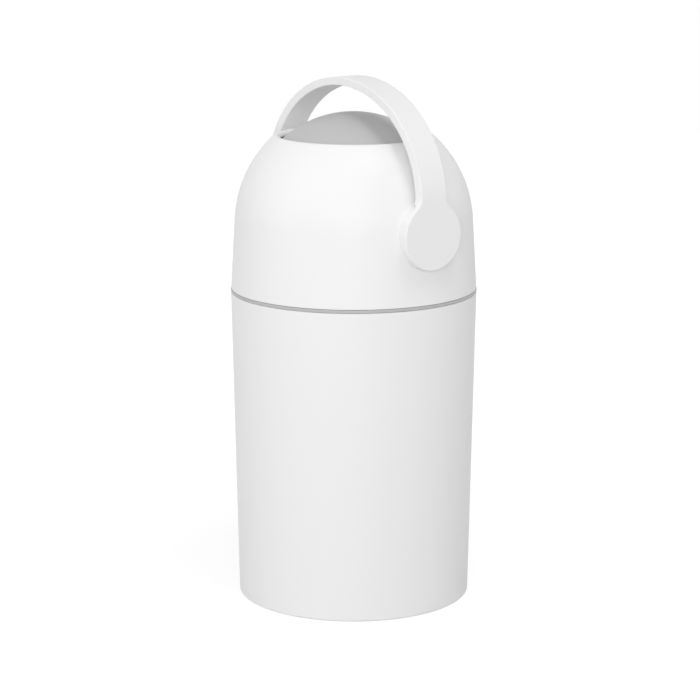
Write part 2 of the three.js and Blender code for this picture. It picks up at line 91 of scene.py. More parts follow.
camera_data = bpy.data.cameras.new("camera")
camera_data.lens = CAMERA_LENS
camera = bpy.data.objects.new("camera", camera_data)
camera.location = CAMERA_PLACE
camera.rotation_euler = (pi / 2 - CAMERA_DIP, 0, CAMERA_TURN)
bpy.context.scene.collection.objects.link(camera)
bpy.context.scene.camera = camera
bpy.context.scene.view_settings.view_transform = "Standard"

# %% [markdown]
# ## Light
# A white thing on white needs a light that falls off round it, or it turns into a flat patch. The
# camera sees a white sky, but the light that comes from it is only a fill. A softbox stands behind
# the camera and a weaker one at the left, both hardly above it, so that the sides fall off. A third
# hangs overhead, a little to the right, and lays the arch's shadow on the ball. The same light from
# all round would be simpler, but then nothing shows that the dome is round.

# %% World and lamps
SKY_LEVEL = 0.6


def node_tree_of(block):
    block.use_nodes = True
    tree = block.node_tree
    tree.nodes.clear()
    return tree


def add_node(tree, kind, **settings):
    node = tree.nodes.new(kind)
    for key, value in settings.items():
        setattr(node, key, value)
    return node


def seen_directly(tree):
    """1 for what the camera, a mirror or glass shows, 0 for light that falls on things."""
    path = add_node(tree, "ShaderNodeLightPath")
    total = path.outputs["Is Camera Ray"]
    for name in ("Is Glossy Ray", "Is Transmission Ray"):
        greatest = add_node(tree, "ShaderNodeMath", operation="MAXIMUM")
        tree.links.new(total, greatest.inputs[0])
        tree.links.new(path.outputs[name], greatest.inputs[1])
        total = greatest.outputs[0]
    return total


world = bpy.data.worlds.new("white studio")
bpy.context.scene.world = world
tree = node_tree_of(world)
lit = add_node(tree, "ShaderNodeBackground")
lit.inputs["Color"].default_value = (1, 1, 1, 1)
lit.inputs["Strength"].default_value = SKY_LEVEL
shown = add_node(tree, "ShaderNodeBackground")
shown.inputs["Color"].default_value = (1, 1, 1, 1)
shown.inputs["Strength"].default_value = 1
mixed = add_node(tree, "ShaderNodeMixShader")
tree.links.new(seen_directly(tree), mixed.inputs[0])
tree.links.new(lit.outputs[0], mixed.inputs[1])
tree.links.new(shown.outputs[0], mixed.inputs[2])
tree.links.new(mixed.outputs[0], add_node(tree, "ShaderNodeOutputWorld").inputs[0])


LAMP_AIM = (0, 0, 0.3)
# Each softbox: its name, its place, its width in metres and its power in watts.
SOFTBOXES = [
    ("front_softbox", (2.273, -1.696, 0.903), 1.4, 26),
    ("left_softbox", (-1.050, -2.635, 0.903), 1.4, 13),
    ("top_softbox", (0.896, -0.027, 3.058), 1.0, 16),
]

for name, place, width, watts in SOFTBOXES:
    data = bpy.data.lights.new(name, "AREA")
    data.shape = "DISK"
    data.size = width
    data.energy = watts
    lamp = bpy.data.objects.new(name, data)
    lamp.location = place
    lamp.rotation_euler = (Vector(LAMP_AIM) - Vector(place)).to_track_quat("-Z", "Y").to_euler()
    bpy.context.scene.collection.objects.link(lamp)
    print(f"{name}: {watts} W from {(Vector(place) - Vector(LAMP_AIM)).length:.2f} m away")

# %% [markdown]
# The floor throws back as much light as a pale grey sheet. For the camera most of its white is given
# outright and a share comes from the light on it, which keeps the bin's soft shadow. That share fades
# out with the distance from the bin, so the sheet melts into the white behind it.

# %% Floor
FLOOR_SIZE = 6.0
FLOOR_TONE = 0.62
SHADOW_SHARE = 0.28
SHADOW_NEAR = 0.25
SHADOW_FAR = 0.8
FLOOR_WHITE = 1.08

floor_mesh = bmesh.new()
bmesh.ops.create_grid(floor_mesh, x_segments=1, y_segments=1, size=FLOOR_SIZE / 2)
floor_data = bpy.data.meshes.new("floor")
floor_mesh.to_mesh(floor_data)
floor_mesh.free()
floor = bpy.data.objects.new("floor", floor_data)
bpy.context.scene.collection.objects.link(floor)

floor_finish = bpy.data.materials.new("floor")
tree = node_tree_of(floor_finish)
direct = seen_directly(tree)
tone = add_node(tree, "ShaderNodeMapRange")
tone.inputs["To Min"].default_value = FLOOR_TONE
tree.links.new(direct, tone.inputs["Value"])
matt = add_node(tree, "ShaderNodeBsdfDiffuse")
tree.links.new(tone.outputs[0], matt.inputs["Color"])
white = add_node(tree, "ShaderNodeEmission")
white.inputs["Color"].default_value = (1, 1, 1, 1)
white.inputs["Strength"].default_value = FLOOR_WHITE
place = add_node(tree, "ShaderNodeTexCoord")
distance = add_node(tree, "ShaderNodeVectorMath", operation="LENGTH")
tree.links.new(place.outputs["Object"], distance.inputs[0])
fade = add_node(tree, "ShaderNodeMapRange", interpolation_type="SMOOTHSTEP")
for name, value in (
    ("From Min", SHADOW_NEAR),
    ("From Max", SHADOW_FAR),
    ("To Min", 1 - SHADOW_SHARE),
    ("To Max", 1),
):
    fade.inputs[name].default_value = value
tree.links.new(distance.outputs["Value"], fade.inputs["Value"])
share = add_node(tree, "ShaderNodeMath", operation="MULTIPLY")
tree.links.new(direct, share.inputs[0])
tree.links.new(fade.outputs[0], share.inputs[1])
mixed = add_node(tree, "ShaderNodeMixShader")
tree.links.new(share.outputs[0], mixed.inputs[0])
tree.links.new(matt.outputs[0], mixed.inputs[1])
tree.links.new(white.outputs[0], mixed.inputs[2])
tree.links.new(mixed.outputs[0], add_node(tree, "ShaderNodeOutputMaterial").inputs[0])
floor_data.materials.append(floor_finish)

# %% [markdown]
# ## Finishes
# Moulded plastic isn't one flat colour. The mould's spark-eroded skin leaves a grain a few tenths of
# a millimetre across, the wall is never quite true, and the gloss drifts over a hand's width. One
# node group gives all three, and each plastic sets its own amounts.

# %% Node group: moulded skin


def add_socket(group, name, way, kind, value=None):
    socket = group.interface.new_socket(name=name, in_out=way, socket_type=kind)
    if value is not None:
        socket.default_value = value
    return socket


def noise(tree, vector, scale, detail, roughness=0.5):
    texture = add_node(tree, "ShaderNodeTexNoise")
    texture.inputs["Scale"].default_value = scale
    texture.inputs["Detail"].default_value = detail
    texture.inputs["Roughness"].default_value = roughness
    tree.links.new(vector, texture.inputs["Vector"])
    return texture.outputs[0]


NOISE_LOW = 0.3
NOISE_HIGH = 0.7


def remap(tree, value, low, high):
    """The middle of a noise, where nearly all of it lies, spread between low and high."""
    spread = add_node(tree, "ShaderNodeMapRange")
    spread.inputs["From Min"].default_value = NOISE_LOW
    spread.inputs["From Max"].default_value = NOISE_HIGH
    tree.links.new(value, spread.inputs["Value"])
    for name, end in (("To Min", low), ("To Max", high)):
        if isinstance(end, float):
            spread.inputs[name].default_value = end
        else:
            tree.links.new(end, spread.inputs[name])
    return spread.outputs[0]


def math_node(tree, operation, first, second):
    node = add_node(tree, "ShaderNodeMath", operation=operation)
    for socket, value in zip(node.inputs, (first, second)):
        if isinstance(value, (int, float)):
            socket.default_value = value
        else:
            tree.links.new(value, socket)
    return node.outputs[0]


GRAIN_PER_METRE = 1400.0
GRAIN_DETAIL = 2.0
WAVE_PER_METRE = 14.0
DRIFT_PER_METRE = 9.0
DRIFT_DETAIL = 3.0

skin = bpy.data.node_groups.new("moulded skin", "ShaderNodeTree")
add_socket(skin, "Vector", "INPUT", "NodeSocketVector")
add_socket(skin, "Grain", "INPUT", "NodeSocketFloat", 1.0)
add_socket(skin, "Wave", "INPUT", "NodeSocketFloat", 1.0)
add_socket(skin, "Gloss low", "INPUT", "NodeSocketFloat", 0.35)
add_socket(skin, "Gloss high", "INPUT", "NodeSocketFloat", 0.45)
add_socket(skin, "Height", "OUTPUT", "NodeSocketFloat")
add_socket(skin, "Roughness", "OUTPUT", "NodeSocketFloat")
add_socket(skin, "Tone", "OUTPUT", "NodeSocketFloat")
given = add_node(skin, "NodeGroupInput")
result = add_node(skin, "NodeGroupOutput")
grain = noise(skin, given.outputs["Vector"], GRAIN_PER_METRE, GRAIN_DETAIL)
wave = noise(skin, given.outputs["Vector"], WAVE_PER_METRE, 0.0)
drift = noise(skin, given.outputs["Vector"], DRIFT_PER_METRE, DRIFT_DETAIL)
height = math_node(
    skin,
    "ADD",
    math_node(skin, "MULTIPLY", grain, given.outputs["Grain"]),
    math_node(skin, "MULTIPLY", wave, given.outputs["Wave"]),
)
skin.links.new(height, result.inputs["Height"])
gloss = remap(skin, drift, given.outputs["Gloss low"], given.outputs["Gloss high"])
skin.links.new(gloss, result.inputs["Roughness"])
skin.links.new(drift, result.inputs["Tone"])


SKIN_DEPTH = 0.05 * MM


def moulded(name, colour, tone, gloss, grain, wave, shine=0.5):
    """A moulded plastic or rubber: two close tones, a drifting gloss and a fine skin."""
    material = bpy.data.materials.new(name)
    tree = node_tree_of(material)
    shader = add_node(tree, "ShaderNodeBsdfPrincipled")
    shader.inputs["Specular IOR Level"].default_value = shine
    place = add_node(tree, "ShaderNodeTexCoord")
    group = add_node(tree, "ShaderNodeGroup", node_tree=skin)
    tree.links.new(place.outputs["Object"], group.inputs["Vector"])
    amounts = (("Grain", grain), ("Wave", wave), ("Gloss low", gloss[0]), ("Gloss high", gloss[1]))
    for socket, value in amounts:
        group.inputs[socket].default_value = value
    tones = add_node(tree, "ShaderNodeMix", data_type="RGBA")
    tones.inputs["A"].default_value = (*[channel * tone for channel in colour], 1)
    tones.inputs["B"].default_value = (*colour, 1)
    tree.links.new(group.outputs["Tone"], tones.inputs["Factor"])
    tree.links.new(tones.outputs["Result"], shader.inputs["Base Color"])
    tree.links.new(group.outputs["Roughness"], shader.inputs["Roughness"])
    relief = add_node(tree, "ShaderNodeBump")
    relief.inputs["Distance"].default_value = SKIN_DEPTH
    tree.links.new(group.outputs["Height"], relief.inputs["Height"])
    tree.links.new(relief.outputs["Normal"], shader.inputs["Normal"])
    tree.links.new(shader.outputs[0], add_node(tree, "ShaderNodeOutputMaterial").inputs[0])
    print(f"{name}: roughness {gloss[0]} to {gloss[1]}, shine {shine}")
    return material


# %% The plastics and the rubber
WHITE = (0.875, 0.875, 0.875)
BALL_GREY = (0.525, 0.525, 0.528)
BAND_GREY = (0.50, 0.50, 0.505)
INNER_GREY = (0.74, 0.74, 0.735)
BEARING = (0.80, 0.77, 0.68)
RUBBER = (0.06, 0.061, 0.063)

# Each finish: its colour, how dark its darker tone is beside it, its gloss from low to high as
# roughness, the depth of its grain and of its wave, and where it isn't 0.5, how much it shines.
white_shell = moulded("white_shell", WHITE, 0.985, (0.4, 0.5), 0.5, 1.0, shine=0.25)
white_handle = moulded("white_handle", WHITE, 0.985, (0.42, 0.52), 0.35, 0.6, shine=0.12)
grey_ball = moulded("grey_ball", BALL_GREY, 0.97, (0.38, 0.48), 0.5, 1.0, shine=0.15)
grey_band = moulded("grey_ring", BAND_GREY, 0.97, (0.4, 0.5), 0.5, 0.5)
inner_plastic = moulded("inner_plastic", INNER_GREY, 0.96, (0.42, 0.55), 0.8, 1.0)
bearing_plastic = moulded("bearing_plastic", BEARING, 0.95, (0.3, 0.4), 0.3, 0.5)
seal_rubber = moulded("seal_rubber", RUBBER, 0.8, (0.62, 0.78), 1.5, 0.5)

# %% [markdown]
# Bright steel is metal with the lathe's fine rings in it. The rings are a wave in the roughness and
# the bump, measured from the piece's own axis.

# %% Steel
RINGS_PER_METRE = 1800.0
RING_DISTORTION = 1.5
RING_DEPTH = 0.01 * MM
STEEL = (0.62, 0.63, 0.65)
STEEL_DARK = 0.88
STEEL_GLOSS = (0.24, 0.36)
CLOUDS_PER_METRE = 220.0
CLOUD_DETAIL = 2.0


def turned_steel(name, axis):
    material = bpy.data.materials.new(name)
    tree = node_tree_of(material)
    shader = add_node(tree, "ShaderNodeBsdfPrincipled")
    shader.inputs["Metallic"].default_value = 1
    place = add_node(tree, "ShaderNodeTexCoord")
    rings = add_node(tree, "ShaderNodeTexWave", wave_type="BANDS", bands_direction=axis)
    rings.inputs["Scale"].default_value = RINGS_PER_METRE
    rings.inputs["Distortion"].default_value = RING_DISTORTION
    tree.links.new(place.outputs["Object"], rings.inputs["Vector"])
    tree.links.new(remap(tree, rings.outputs["Fac"], *STEEL_GLOSS), shader.inputs["Roughness"])
    cloud = noise(tree, place.outputs["Object"], CLOUDS_PER_METRE, CLOUD_DETAIL)
    tones = add_node(tree, "ShaderNodeMix", data_type="RGBA")
    tones.inputs["A"].default_value = (*[channel * STEEL_DARK for channel in STEEL], 1)
    tones.inputs["B"].default_value = (*STEEL, 1)
    tree.links.new(cloud, tones.inputs["Factor"])
    tree.links.new(tones.outputs["Result"], shader.inputs["Base Color"])
    relief = add_node(tree, "ShaderNodeBump")
    relief.inputs["Distance"].default_value = RING_DEPTH
    tree.links.new(rings.outputs["Fac"], relief.inputs["Height"])
    tree.links.new(relief.outputs["Normal"], shader.inputs["Normal"])
    tree.links.new(shader.outputs[0], add_node(tree, "ShaderNodeOutputMaterial").inputs[0])
    return material


steel_along_x = turned_steel("steel_x", "X")
steel_along_y = turned_steel("steel_y", "Y")
steel_along_z = turned_steel("steel_z", "Z")

# %% [markdown]
# ## How a round shell is made
# Nearly every piece here is round, so it starts as an outline beside its axis that is spun a full
# turn. Hard corners are bevelled afterwards, because no moulded edge is sharp, and it is the bevel
# that catches the light. The normals are recalculated once the doubles on the axis are merged.

# %% Helpers for turned pieces
ROUND_STEPS = 192
SMALL_STEPS = 64
SHARP_ANGLE = radians(40)


def arc(centre, radius, start, end, steps):
    """Points of a round stretch in an outline of (distance from the axis, height)."""
    turns = [start + (end - start) * step / steps for step in range(steps + 1)]
    return [(centre[0] + radius * cos(turn), centre[1] + radius * sin(turn)) for turn in turns]


def run(start, end, steps):
    """Points of a straight stretch, without its last one."""
    return [
        tuple(a + (b - a) * step / steps for a, b in zip(start, end)) for step in range(steps)
    ]


def spun(outline, steps=ROUND_STEPS):
    bm = bmesh.new()
    verts = [bm.verts.new((radius, 0, height)) for radius, height in outline]
    edges = [bm.edges.new(pair) for pair in zip(verts, verts[1:])]
    if outline[0][0] > WELD:
        edges.append(bm.edges.new((verts[-1], verts[0])))
    bmesh.ops.spin(
        bm,
        geom=verts + edges,
        cent=(0, 0, 0),
        axis=(0, 0, 1),
        angle=FULL_TURN,
        steps=steps,
        use_merge=True,
    )
    bmesh.ops.remove_doubles(bm, verts=bm.verts, dist=WELD)
    bmesh.ops.recalc_face_normals(bm, faces=bm.faces)
    return bm


def everywhere(_point):
    return True


def soften(bm, radius, where=everywhere, segments=4, angle=SHARP_ANGLE, clamp=True):
    """Rounds the hard edges whose middles pass the test."""
    edges = [
        edge
        for edge in bm.edges
        if len(edge.link_faces) == 2
        and edge.calc_face_angle() > angle
        and where((edge.verts[0].co + edge.verts[1].co) / 2)
    ]
    bmesh.ops.bevel(
        bm,
        geom=edges,
        offset=radius,
        offset_type="OFFSET",
        affect="EDGES",
        segments=segments,
        profile=0.5,
        material=-1,
        clamp_overlap=clamp,
    )
    return bm


def turn_mesh(bm, angle, axis):
    bmesh.ops.rotate(bm, cent=(0, 0, 0), matrix=Matrix.Rotation(angle, 3, axis), verts=bm.verts)
    return bm


def move_mesh(bm, place):
    bmesh.ops.translate(bm, vec=place, verts=bm.verts)
    return bm


def add_piece(name, bm, material, body, nodes=(), even=True):
    """Makes the object, says what it rides on and which solids it stands for."""
    mesh = bpy.data.meshes.new(name)
    bm.to_mesh(mesh)
    open_edges = sum(1 for edge in bm.edges if not edge.is_manifold)
    volume = bm.calc_volume(signed=True)
    bm.free()
    mesh.polygons.foreach_set("use_smooth", [True] * len(mesh.polygons))
    mesh.set_sharp_from_angle(angle=SHARP_ANGLE)
    mesh.materials.append(material)
    made = bpy.data.objects.new(name, mesh)
    bpy.context.scene.collection.objects.link(made)
    if even:
        shading = made.modifiers.new("even shading", "WEIGHTED_NORMAL")
        shading.keep_sharp = True
    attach(made, body)
    if nodes:
        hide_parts(*nodes)
    print(f"{name}: {len(mesh.polygons)} faces, {volume / CM**3:.1f} cm3, {open_edges} open edges")
    return made


# %% [markdown]
# ## Bucket
# One tapered moulding with a flat bottom. It is spun as a single wall, outside and inside together,
# so it stays hollow when the lid opens. The base edge has the small radius the photograph shows.

# %% Bucket shell
BUCKET_TAPER = 6.4 * MM
BUCKET_WALL = 3.0 * MM
WALL_ROWS = 12
BUCKET_FLOOR = 4.0 * MM
BASE_EDGE = 1.8 * MM
RIM_EDGE = 0.6 * MM
BAND_HEIGHT = 3.0 * MM

base_radius = SEAM_RADIUS - BUCKET_TAPER
bucket_top = SEAM_HEIGHT - BAND_HEIGHT / 2 - SEAT_GAP


def wall_radius(height):
    return base_radius + BUCKET_TAPER * height / bucket_top


rim = (SEAM_RADIUS, bucket_top)
inner_rim = (SEAM_RADIUS - BUCKET_WALL, bucket_top)
inner_foot = (wall_radius(BUCKET_FLOOR) - BUCKET_WALL, BUCKET_FLOOR)
outside = [(0, 0), *run((base_radius, 0), rim, WALL_ROWS), rim]
inside = [*run(inner_rim, inner_foot, WALL_ROWS), inner_foot, (0, BUCKET_FLOOR)]
bucket = spun(outside + inside)
soften(bucket, BASE_EDGE, lambda middle: middle.z < BASE_EDGE)
soften(bucket, RIM_EDGE, lambda middle: middle.z > bucket_top - BASE_EDGE)
soften(bucket, 2 * BASE_EDGE, lambda middle: BASE_EDGE < middle.z < 2 * BUCKET_FLOOR)
add_piece("bucket_wall", bucket, white_shell, "bucket", ["bucket_shell"])

# %% [markdown]
# The grey line at the seam is the edge of the bag ring. Its sleeve hangs inside the bucket and
# pinches the bag's mouth against the wall.

# %% Bag ring
SLEEVE_WALL = 2.5 * MM
SLEEVE_DEPTH = 35.0 * MM
BAG_GAP = 0.8 * MM
RING_EDGE = 0.5 * MM

ring_low, ring_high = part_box("bag_ring")
band_radius = ring_high.x
sleeve_taper = BUCKET_TAPER * SLEEVE_DEPTH / SEAM_HEIGHT
sleeve_outer = SEAM_RADIUS - BUCKET_WALL - sleeve_taper - BAG_GAP
sleeve_inner = sleeve_outer - SLEEVE_WALL
band_bottom = SEAM_HEIGHT - BAND_HEIGHT / 2
band_top = SEAM_HEIGHT + BAND_HEIGHT / 2

ring = spun(
    [
        (sleeve_inner, ring_low.z),
        (sleeve_outer, ring_low.z),
        (sleeve_outer, band_bottom),
        (band_radius, band_bottom),
        (band_radius, band_top),
        (sleeve_inner, band_top),
    ]
)
soften(ring, RING_EDGE)
add_piece("bag_ring_moulding", ring, grey_band, "bucket", ["bag_ring"])

# %% [markdown]
# ## Dome
# The dome's outline is a straight skirt that runs tangent into part of a circle, with a round nose at
# the mouth and a short upright lip below it, close round the ball. The hub bosses could be separate
# discs pushed into the wall, but then the joint has no fillet. So the wall is opened where a boss
# stands, the rim of the hole is drawn onto a true circle on the dome's own surface, and the boss is
# extruded from it.

# %% Dome outline
DOME_INSET = 4.2 * MM
DOME_CENTRE = SEAM_HEIGHT + 68.0 * MM
LID_WALL = 2.8 * MM
LID_EDGE_INSET = 0.2 * MM
MOUTH_NOSE = 4.0 * MM
MOUTH_LIP = 5.0 * MM
DOME_STEPS = 30
SKIRT_STEPS = 14
NOSE_STEPS = 8

lid_bottom = band_top + SEAT_GAP
lid_edge = SEAM_RADIUS - LID_EDGE_INSET
dome_radius = SEAM_RADIUS - DOME_INSET


def dome_tangent(edge, radius):
    """Angle at which the skirt meets the round top."""
    drop = DOME_CENTRE - lid_bottom
    return acos(radius / hypot(edge, drop)) - atan2(drop, edge)


def dome_outline(edge, radius, top_height):
    start = dome_tangent(edge, radius)
    end = asin((top_height - DOME_CENTRE) / radius)
    top = arc((0, DOME_CENTRE), radius, start, end, DOME_STEPS)
    return [*run((edge, lid_bottom), top[0], SKIRT_STEPS), *top]


def dome_radius_at(height, edge, radius):
    start = dome_tangent(edge, radius)
    shoulder = (radius * cos(start), DOME_CENTRE + radius * sin(start))
    if height > shoulder[1]:
        return sqrt(radius**2 - (height - DOME_CENTRE) ** 2)
    share = (height - lid_bottom) / (shoulder[1] - lid_bottom)
    return edge + (shoulder[0] - edge) * share


outside = (lid_edge, dome_radius)
inside = (lid_edge - LID_WALL, dome_radius - LID_WALL)
nose_height = MOUTH_HEIGHT - MOUTH_NOSE
lip_height = MOUTH_HEIGHT - MOUTH_LIP
nose_angle = asin((nose_height - DOME_CENTRE) / (dome_radius - MOUTH_NOSE))
nose_radius = (dome_radius - MOUTH_NOSE) * cos(nose_angle)
tangent_height = nose_height + MOUTH_NOSE * sin(nose_angle)
lip_radius = nose_radius - MOUTH_NOSE
dome = spun(
    [
        *dome_outline(*outside, tangent_height),
        *arc((nose_radius, nose_height), MOUTH_NOSE, nose_angle, pi, NOSE_STEPS)[1:],
        (lip_radius, lip_height),
        *reversed(dome_outline(*inside, lip_height)),
    ]
)
print(f"mouth radius {lip_radius:.4f}")

# %% Hub bosses, drawn out of the dome's wall
HUB_RADIUS = 35.0 * MM
BOSS_RADIUS = HUB_RADIUS - 1.5 * MM
HUB_PLATE = 6.5 * MM
BOSS_BORE = 16.3 * MM
BOSS_ROOT = 1.5 * MM
LIP_EDGE = 0.5 * MM
BOSS_ROOT_ANGLE = radians(20)

boss_face = HUB_FACE - HUB_PLATE - RUN_GAP


def hub_distance(point):
    return hypot(point.y, point.z - AXLE_HEIGHT)


def set_hub_distance(point, distance):
    grow = distance / hub_distance(point)
    point.y *= grow
    point.z = AXLE_HEIGHT + (point.z - AXLE_HEIGHT) * grow


def open_circle(bm, side, radius, skin, outward):
    """Opens one skin of the dome inside a circle round the axle and rounds the rim to it."""
    open_before = {edge for edge in bm.edges if edge.is_boundary}
    inside_circle = []
    for face in bm.faces:
        middle = face.calc_center_median()
        faces_out = face.normal.x * side * outward > 0
        if middle.x * side > 0 and hub_distance(middle) < radius and faces_out:
            inside_circle.append(face)
    bmesh.ops.delete(bm, geom=inside_circle, context="FACES")
    rim = [edge for edge in bm.edges if edge.is_boundary and edge not in open_before]
    for vert in {vert for edge in rim for vert in edge.verts}:
        set_hub_distance(vert.co, radius)
        vert.co.x = side * sqrt(dome_radius_at(vert.co.z, *skin) ** 2 - vert.co.y**2)
    return rim


def draw_out(bm, rim, change):
    """Extrudes a rim and passes each new point through a change."""
    made = bmesh.ops.extrude_edge_only(bm, edges=rim)["geom"]
    for item in made:
        if isinstance(item, bmesh.types.BMVert):
            change(item.co)
    return [item for item in made if isinstance(item, bmesh.types.BMEdge)]


for side in (-1, 1):

    def to_face(point, side=side):
        point.x = side * boss_face

    def to_bore(point):
        set_hub_distance(point, BOSS_BORE)

    rim = open_circle(dome, side, BOSS_RADIUS, outside, 1)
    bore = draw_out(dome, draw_out(dome, rim, to_face), to_bore)
    bore = [edge for edge in bore if edge.is_boundary]
    back = open_circle(dome, side, BOSS_BORE, inside, -1)
    bmesh.ops.bridge_loops(dome, edges=bore + back)
bmesh.ops.recalc_face_normals(dome, faces=dome.faces)
print("open edges:", sum(edge.is_boundary for edge in dome.edges))


# %% Dome edges and finish
BOSS_DEPTH = 9.0 * MM


def at_hub(point):
    return abs(point.x) > boss_face - BOSS_DEPTH and hub_distance(point) < BOSS_RADIUS + MM


def at_lip(point):
    return point.z > lip_height - MM


def at_lid_edge(point):
    return point.z < lid_bottom + MM


soften(dome, RIM_EDGE, at_lid_edge)
soften(dome, LIP_EDGE, at_lip)
soften(dome, BOSS_ROOT, at_hub, angle=BOSS_ROOT_ANGLE, clamp=False)
add_piece("dome_wall", dome, white_shell, "lid", ["lid_dome"])

# %% [markdown]
# ## Ball
# The ball is two half shells, joined on the level of the axle, with the barrel's round mouth in front
# and behind. Each half is spun half a turn about the barrel's axis, so the mouth's lip comes out of
# the outline, and the two ends of the half turn are bridged shut. The joint between the halves
# doesn't show while the handle is up, but it crosses the mouth when the handle is laid down.

# %% Ball halves
BALL_WALL = 3.0 * MM
BARREL_MOUTH = 56.0 * MM
BALL_LIP_EDGE = 1.2 * MM
BALL_SEAM_EDGE = 0.35 * MM
BALL_ROWS = 44


def shell_row(radius, mouth, rows):
    reach = acos(mouth / radius)
    return arc((0, 0), radius, -reach, reach, rows)


def half_shell(radius, wall, mouth, rows):
    """Half a turn of a shell with round mouths at its two ends, about Z, on the +Y side."""
    bm = bmesh.new()
    loops = []
    for row in (shell_row(radius, mouth, rows), shell_row(radius - wall, mouth, rows)):
        verts = [bm.verts.new((distance, 0, height)) for distance, height in row]
        loops.append((verts, [bm.edges.new(pair) for pair in zip(verts, verts[1:])]))
    ends = [bm.edges.new((loops[0][0][place], loops[1][0][place])) for place in (0, -1)]
    start = loops[0][1] + loops[1][1]
    start_verts = loops[0][0] + loops[1][0]
    turned = bmesh.ops.spin(
        bm,
        geom=start_verts + start + ends,
        cent=(0, 0, 0),
        axis=(0, 0, 1),
        angle=pi,
        steps=ROUND_STEPS // 2,
        use_merge=False,
    )["geom_last"]
    long_way = [item for item in turned if isinstance(item, bmesh.types.BMEdge)]
    long_way = [edge for edge in long_way if not is_lip(edge, radius, wall)]
    bmesh.ops.bridge_loops(bm, edges=start)
    bmesh.ops.bridge_loops(bm, edges=long_way)
    bmesh.ops.recalc_face_normals(bm, faces=bm.faces)
    return bm


def is_lip(edge, radius, wall):
    """True for the short edge that joins the outside of the shell to its inside."""
    far = [vert.co.length > radius - wall / 2 for vert in edge.verts]
    return far[0] != far[1]


for name, turn, sign in (("upper", pi / 2, 1), ("lower", -pi / 2, -1)):
    ball = half_shell(BALL_RADIUS, BALL_WALL, BARREL_MOUTH, BALL_ROWS)
    turn_mesh(ball, turn, "X")
    soften(ball, BALL_LIP_EDGE, lambda point: hypot(point.x, point.z) < BARREL_MOUTH + MM)
    soften(ball, BALL_SEAM_EDGE, lambda point: abs(point.z) < MM)
    move_mesh(ball, (0, 0, AXLE_HEIGHT + sign * SEAT_GAP / 2))
    add_piece(f"ball_{name}", ball, grey_ball, "drum", [f"ball_{name}_shell"])

# %% [markdown]
# ## Handle
# The handle is one flat band: half an ellipse on two short legs, each ending in a round hub disc. The
# band is thinnest at the top, where the hand goes. Round the lid's boss it is cut back to a thin
# plate. One half is made, the hub first and then the arch, and mirrored. Then every long edge is
# rounded in one go, so the rounding runs on from the arch into the hub without a break.

# %% Hub disc and the foot of the leg
HANDLE_WIDTH = 31.7 * MM
HANDLE_THICKNESS = 8.2 * MM
LEG_THICKNESS = 10.5 * MM
HANDLE_LEG = 33.2 * MM
HUB_FILLET = 14.0 * MM
LEG_CLEARANCE = 1.5 * MM
DISC_STEPS = 96
FILLET_STEPS = 6
ROOM_STEPS = 8

half_width = HANDLE_WIDTH / 2
arch_centre = AXLE_HEIGHT + HANDLE_LEG
outer_arch = (HUB_FACE, HANDLE_TOP - arch_centre)
inner_arch = (HUB_FACE - LEG_THICKNESS, outer_arch[1] - HANDLE_THICKNESS)
disc_back = HUB_FACE - HUB_PLATE
room_radius = HUB_RADIUS + LEG_CLEARANCE

fillet_reach = HUB_RADIUS + HUB_FILLET
fillet_y = half_width + HUB_FILLET
fillet_z = sqrt(fillet_reach**2 - fillet_y**2)
fillet_end = pi + atan2(fillet_z, fillet_y)
room_cosine = (fillet_reach**2 + HUB_FILLET**2 - room_radius**2) / (2 * fillet_reach * HUB_FILLET)
room_turn = fillet_end - acos(room_cosine)
first_angle = asin((fillet_z - HANDLE_LEG) / outer_arch[1])


def mirrored(points):
    return [(-y, z) for y, z in reversed(points)]


def arch_x(above_axle, half, rise):
    """How far out a face of the band is at a height above the axle."""
    return half * sqrt(1 - (max(above_axle - HANDLE_LEG, 0) / rise) ** 2)


def hub_face(points):
    return handle.faces.new([handle.verts.new((disc_back, y, AXLE_HEIGHT + z)) for y, z in points])


def push(faces, place):
    """Extrudes faces and puts each new point where it belongs."""
    pushed = bmesh.ops.extrude_face_region(handle, geom=faces)["geom"]
    for item in pushed:
        if isinstance(item, bmesh.types.BMVert):
            place(item.co)


upper_fillet = arc((fillet_y, fillet_z), HUB_FILLET, pi, room_turn, FILLET_STEPS)
lower_fillet = arc((fillet_y, fillet_z), HUB_FILLET, room_turn, fillet_end, FILLET_STEPS)
meeting_y, meeting_z = upper_fillet[-1]
meeting_turn = atan2(meeting_z, meeting_y)
room = arc((0, 0), room_radius, meeting_turn, pi - meeting_turn, ROOM_STEPS)
disc = arc((0, 0), HUB_RADIUS, fillet_end - pi, -fillet_end, DISC_STEPS)

handle = bmesh.new()
leg_face = hub_face([*upper_fillet, *room[1:-1], *mirrored(upper_fillet)])
plate_face = hub_face([*lower_fillet, *disc[1:-1], *mirrored(lower_fillet), *reversed(room[1:-1])])
bmesh.ops.remove_doubles(handle, verts=handle.verts, dist=WELD)


def to_front(point):
    point.x = arch_x(point.z - AXLE_HEIGHT, *outer_arch)


def to_leg_back(point):
    at_top = point.z > AXLE_HEIGHT + fillet_z - WELD
    point.x = arch_x(point.z - AXLE_HEIGHT, *inner_arch)
    if at_top:
        point.x = inner_arch[0] * cos(first_angle)
        point.z = arch_centre + inner_arch[1] * sin(first_angle)


push([leg_face, plate_face], to_front)
push([leg_face], to_leg_back)
bmesh.ops.delete(handle, geom=[leg_face], context="FACES_ONLY")
arch_foot = arch_centre + inner_arch[1] * sin(first_angle) - WELD
open_top = [face for face in handle.faces if all(vert.co.z > arch_foot for vert in face.verts)]
bmesh.ops.delete(handle, geom=open_top, context="FACES")
side_seams = [
    edge
    for edge in handle.edges
    if all(abs(vert.co.x - disc_back) < WELD for vert in edge.verts)
    and hub_distance((edge.verts[0].co + edge.verts[1].co) / 2) > room_radius
]
bmesh.ops.dissolve_edges(handle, edges=side_seams, use_verts=True)

